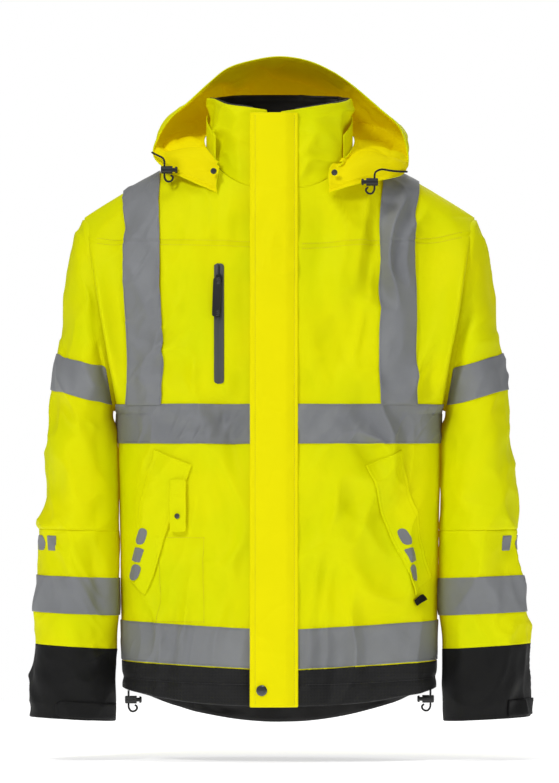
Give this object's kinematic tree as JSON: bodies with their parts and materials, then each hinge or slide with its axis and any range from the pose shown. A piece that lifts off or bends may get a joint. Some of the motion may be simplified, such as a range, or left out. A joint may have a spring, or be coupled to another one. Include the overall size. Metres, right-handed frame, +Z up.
{
  "type": "foul weather jacket",
  "caption": "Hooded high-visibility work jacket with sleeves, reflective bands, storm flap over a zip, chest zip, hand pockets and cord locks.",
  "frame": {"origin": "middle of the hanger loop inside the back neck, where the jacket hangs", "axes": "+Z up along the jacket, +X to the viewer's right as seen from the front, -Y out of the front"},
  "size_m": [0.6486, 0.294, 0.856],
  "materials": {
    "yellow_shell": "coated fluorescent yellow woven polyester",
    "black_shell": "coated black woven polyester",
    "black_lining": "black quilted and fleece lining",
    "reflective_band": "grey glass-bead reflective band",
    "zip_rubber": "welded matt rubber",
    "zip_teeth": "moulded zip teeth",
    "slider_metal": "black lacquered slider",
    "snap_metal": "gunmetal snap",
    "moulded_lock": "black moulded cord lock",
    "cord": "braided black elastic cord"
  },
  "bodies": {
    "torso": {"front_left_shell": "yellow_shell", "front_right_shell": "yellow_shell", "back_shell": "yellow_shell", "hem_trim_left": "black_shell", "hem_trim_right": "black_shell", "drop_tail": "black_shell", "chest_band_left": "reflective_band", "chest_band_right": "reflective_band", "chest_band_back": "reflective_band", "hem_band_left": "reflective_band", "hem_band_right": "reflective_band", "hem_band_back": "reflective_band", "brace_band_left": "reflective_band", "brace_band_right": "reflective_band", "sleeve_head_left": "yellow_shell", "upper_sleeve_band_left": "reflective_band", "sleeve_head_right": "yellow_shell", "upper_sleeve_band_right": "reflective_band", "collar": "yellow_shell", "collar_lining": "black_lining", "main_zip": "zip_teeth", "flap_snap_stud": "snap_metal", "chest_zip_tape": "zip_rubber", "pocket_bag_left": "black_lining", "pocket_bag_right": "black_lining", "hem_left_cord": "cord", "hem_right_cord": "cord", "hanger_loop": "cord"},
    "storm_flap": {"storm_flap": "yellow_shell", "flap_snap_cap": "snap_metal"},
    "main_slider": {"main_zip_slider": "slider_metal"},
    "chest_slider": {"chest_zip_slider": "slider_metal"},
    "chest_pull": {"chest_zip_pull": "zip_rubber"},
    "pocket_flap_left": {"pocket_flap_left": "yellow_shell"},
    "pocket_flap_right": {"pocket_flap_right": "yellow_shell"},
    "snap_tab": {"snap_tab": "yellow_shell", "snap_tab_stud": "snap_metal"},
    "hood": {"hood": "yellow_shell", "hood_snap_left": "snap_metal", "hood_snap_right": "snap_metal", "hood_left_cord": "cord", "hood_right_cord": "cord"},
    "hood_left_lock": {"hood_left_lock": "moulded_lock"},
    "hood_left_button": {"hood_left_button": "moulded_lock"},
    "hood_right_lock": {"hood_right_lock": "moulded_lock"},
    "hood_right_button": {"hood_right_button": "moulded_lock"},
    "hem_left_lock": {"hem_left_lock": "moulded_lock"},
    "hem_left_button": {"hem_left_button": "moulded_lock"},
    "hem_right_lock": {"hem_right_lock": "moulded_lock"},
    "hem_right_button": {"hem_right_button": "moulded_lock"},
    "sleeve_left": {"upper_sleeve_left": "yellow_shell"},
    "forearm_left": {"lower_sleeve_left": "yellow_shell", "lower_sleeve_band_left": "reflective_band", "cuff_left": "black_shell"},
    "cuff_tab_left": {"cuff_tab_left": "black_shell"},
    "sleeve_right": {"upper_sleeve_right": "yellow_shell"},
    "forearm_right": {"lower_sleeve_right": "yellow_shell", "lower_sleeve_band_right": "reflective_band", "cuff_right": "black_shell"},
    "cuff_tab_right": {"cuff_tab_right": "black_shell"}
  },
  "joints": [
    {"name": "storm_flap_open", "type": "hinge", "parent": "torso", "child": "storm_flap", "pos_m": [0.023, -0.18303, -0.3383], "axis": [0, 0.0599, 0.9982], "range_deg": [0, 120]},
    {"name": "main_zip_slide", "type": "slide", "parent": "torso", "child": "main_slider", "axis": [0, 0.0599, 0.9982], "range_m": [-0.68, 0]},
    {"name": "chest_zip_slide", "type": "slide", "parent": "torso", "child": "chest_slider", "axis": [0.0051, 0.0523, 0.9986], "range_m": [-0.108, 0]},
    {"name": "chest_pull_swing", "type": "hinge", "parent": "chest_slider", "child": "chest_pull", "pos_m": [-0.07723, -0.16877, -0.16579], "axis": [-0.9953, 0.0968, 0], "range_deg": [0, 90]},
    {"name": "pocket_flap_left_open", "type": "hinge", "parent": "torso", "child": "pocket_flap_left", "pos_m": [-0.17737, -0.13336, -0.46696], "axis": [-0.2076, 0.2127, -0.9548], "range_deg": [0, 35]},
    {"name": "pocket_flap_right_open", "type": "hinge", "parent": "torso", "child": "pocket_flap_right", "pos_m": [0.17737, -0.13336, -0.46696], "axis": [-0.2076, -0.2127, 0.9548], "range_deg": [0, 35]},
    {"name": "snap_tab_lift", "type": "hinge", "parent": "pocket_flap_left", "child": "snap_tab", "pos_m": [-0.12895, -0.17037, -0.42278], "axis": [-0.9356, 0.3531, 0], "range_deg": [0, 80]},
    {"name": "hood_fold", "type": "hinge", "parent": "torso", "child": "hood", "pos_m": [0, 0.034, 0.026], "axis": [-1, 0, 0], "range_deg": [0, 68]},
    {"name": "hood_left_lock_slide", "type": "slide", "parent": "hood", "child": "hood_left_lock", "axis": [0, 0, 1], "range_m": [0, 0.005]},
    {"name": "hood_left_button_press", "type": "slide", "parent": "hood_left_lock", "child": "hood_left_button", "axis": [-1, 0, 0], "range_m": [0, 0.003], "stiffness_N_per_m": 300},
    {"name": "hood_right_lock_slide", "type": "slide", "parent": "hood", "child": "hood_right_lock", "axis": [0, 0, 1], "range_m": [0, 0.005]},
    {"name": "hood_right_button_press", "type": "slide", "parent": "hood_right_lock", "child": "hood_right_button", "axis": [1, 0, 0], "range_m": [0, 0.003], "stiffness_N_per_m": 300},
    {"name": "hem_left_lock_slide", "type": "slide", "parent": "torso", "child": "hem_left_lock", "axis": [0, 0, 1], "range_m": [0, 0.005]},
    {"name": "hem_left_button_press", "type": "slide", "parent": "hem_left_lock", "child": "hem_left_button", "axis": [-1, 0, 0], "range_m": [0, 0.003], "stiffness_N_per_m": 300},
    {"name": "hem_right_lock_slide", "type": "slide", "parent": "torso", "child": "hem_right_lock", "axis": [0, 0, 1], "range_m": [0, 0.005]},
    {"name": "hem_right_button_press", "type": "slide", "parent": "hem_right_lock", "child": "hem_right_button", "axis": [1, 0, 0], "range_m": [0, 0.003], "stiffness_N_per_m": 300},
    {"name": "shoulder_left", "type": "hinge", "parent": "torso", "child": "sleeve_left", "pos_m": [-0.2975, -0.054, -0.362], "axis": [0, 1, 0], "range_deg": [0, 40]},
    {"name": "elbow_left", "type": "hinge", "parent": "sleeve_left", "child": "forearm_left", "pos_m": [-0.26, -0.1355, -0.4885], "axis": [-1, 0, 0], "range_deg": [0, 60]},
    {"name": "cuff_tab_left_open", "type": "hinge", "parent": "forearm_left", "child": "cuff_tab_left", "pos_m": [-0.20915, -0.09392, -0.72165], "axis": [0.0164, 0.0294, 0.9994], "range_deg": [0, 60]},
    {"name": "shoulder_right", "type": "hinge", "parent": "torso", "child": "sleeve_right", "pos_m": [0.2975, -0.054, -0.362], "axis": [0, -1, 0], "range_deg": [0, 40]},
    {"name": "elbow_right", "type": "hinge", "parent": "sleeve_right", "child": "forearm_right", "pos_m": [0.26, -0.1355, -0.4885], "axis": [-1, 0, 0], "range_deg": [0, 60]},
    {"name": "cuff_tab_right_open", "type": "hinge", "parent": "forearm_right", "child": "cuff_tab_right", "pos_m": [0.29408, -0.13341, -0.71705], "axis": [0.0201, 0.0045, -0.9998], "range_deg": [0, 60]}
  ]
}
